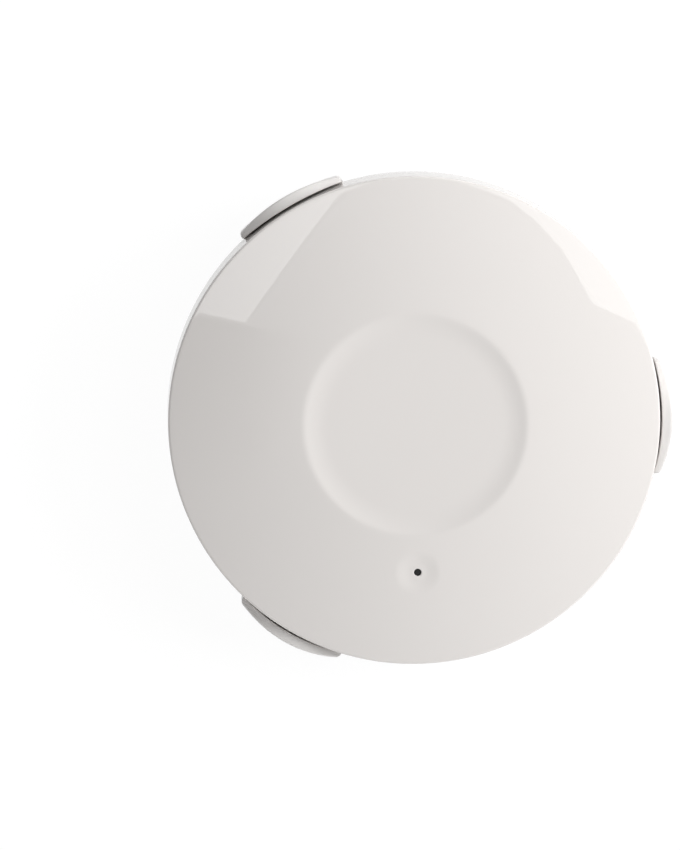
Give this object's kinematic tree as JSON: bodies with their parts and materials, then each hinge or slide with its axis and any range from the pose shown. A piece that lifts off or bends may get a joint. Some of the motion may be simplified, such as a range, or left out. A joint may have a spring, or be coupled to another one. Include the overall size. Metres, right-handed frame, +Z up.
{
  "type": "water leak sensor",
  "caption": "Round domed white floor sensor that stands on metal water probes under its foot lugs, with a light hole in the top and a sliding battery door below.",
  "frame": {"origin": "on the cover's axis, in the floor plane that the three probe heads stand on", "axes": "+Z up through the cover, +X towards the east foot, -Y towards the light hole"},
  "size_m": [0.0821, 0.08, 0.0212],
  "materials": {
    "cover_white": "warm white, gloss",
    "base_white": "warm white, gloss",
    "clear_rod": "clear acrylic",
    "black_rubber": "matt",
    "stainless": "turned",
    "plated_steel": "plated",
    "board_green": "solder mask",
    "board_blue": "solder mask",
    "shield_metal": "tinned sheet",
    "chip_black": "moulded",
    "can_metal": "satin",
    "led_clear": "moulded",
    "plunger_white": "moulded",
    "button_grey": "soft touch",
    "tray_grey": "moulded",
    "cell_sleeve": "plain dark sleeve",
    "nickel": "nickel plated"
  },
  "bodies": {
    "housing": {"top_cover": "cover_white", "light_pipe": "clear_rod", "base_housing": "base_white", "housing_seal": "black_rubber", "housing_screws": "plated_steel", "probe_east": "stainless", "probe_northwest": "stainless", "probe_southwest": "stainless", "probe_seal_east": "black_rubber", "probe_seal_northwest": "black_rubber", "probe_seal_southwest": "black_rubber", "probe_nuts": "plated_steel", "circuit_board": "board_green", "radio_board": "board_blue", "radio_shield": "shield_metal", "control_chip": "chip_black", "supply_capacitor": "can_metal", "status_led": "led_clear", "switch_body": "chip_black", "battery_tray": "tray_grey", "tray_screws": "plated_steel", "battery_a": "cell_sleeve", "battery_b": "cell_sleeve", "positive_contact": "nickel", "negative_contact": "nickel", "negative_spring": "nickel", "bridge_contact": "nickel", "bridge_spring": "nickel"},
    "door": {"battery_door": "base_white", "door_seal": "black_rubber"},
    "button": {"pairing_button": "button_grey", "switch_plunger": "plunger_white"}
  },
  "joints": [
    {"name": "door_slide", "type": "slide", "parent": "housing", "child": "door", "axis": [0, 1, 0], "range_m": [0, 0.005]},
    {"name": "button_press", "type": "slide", "parent": "housing", "child": "button", "axis": [0, 0, 1], "range_m": [0, 0.0003], "stiffness_N_per_m": 3000, "springref_m": -0.0004}
  ]
}
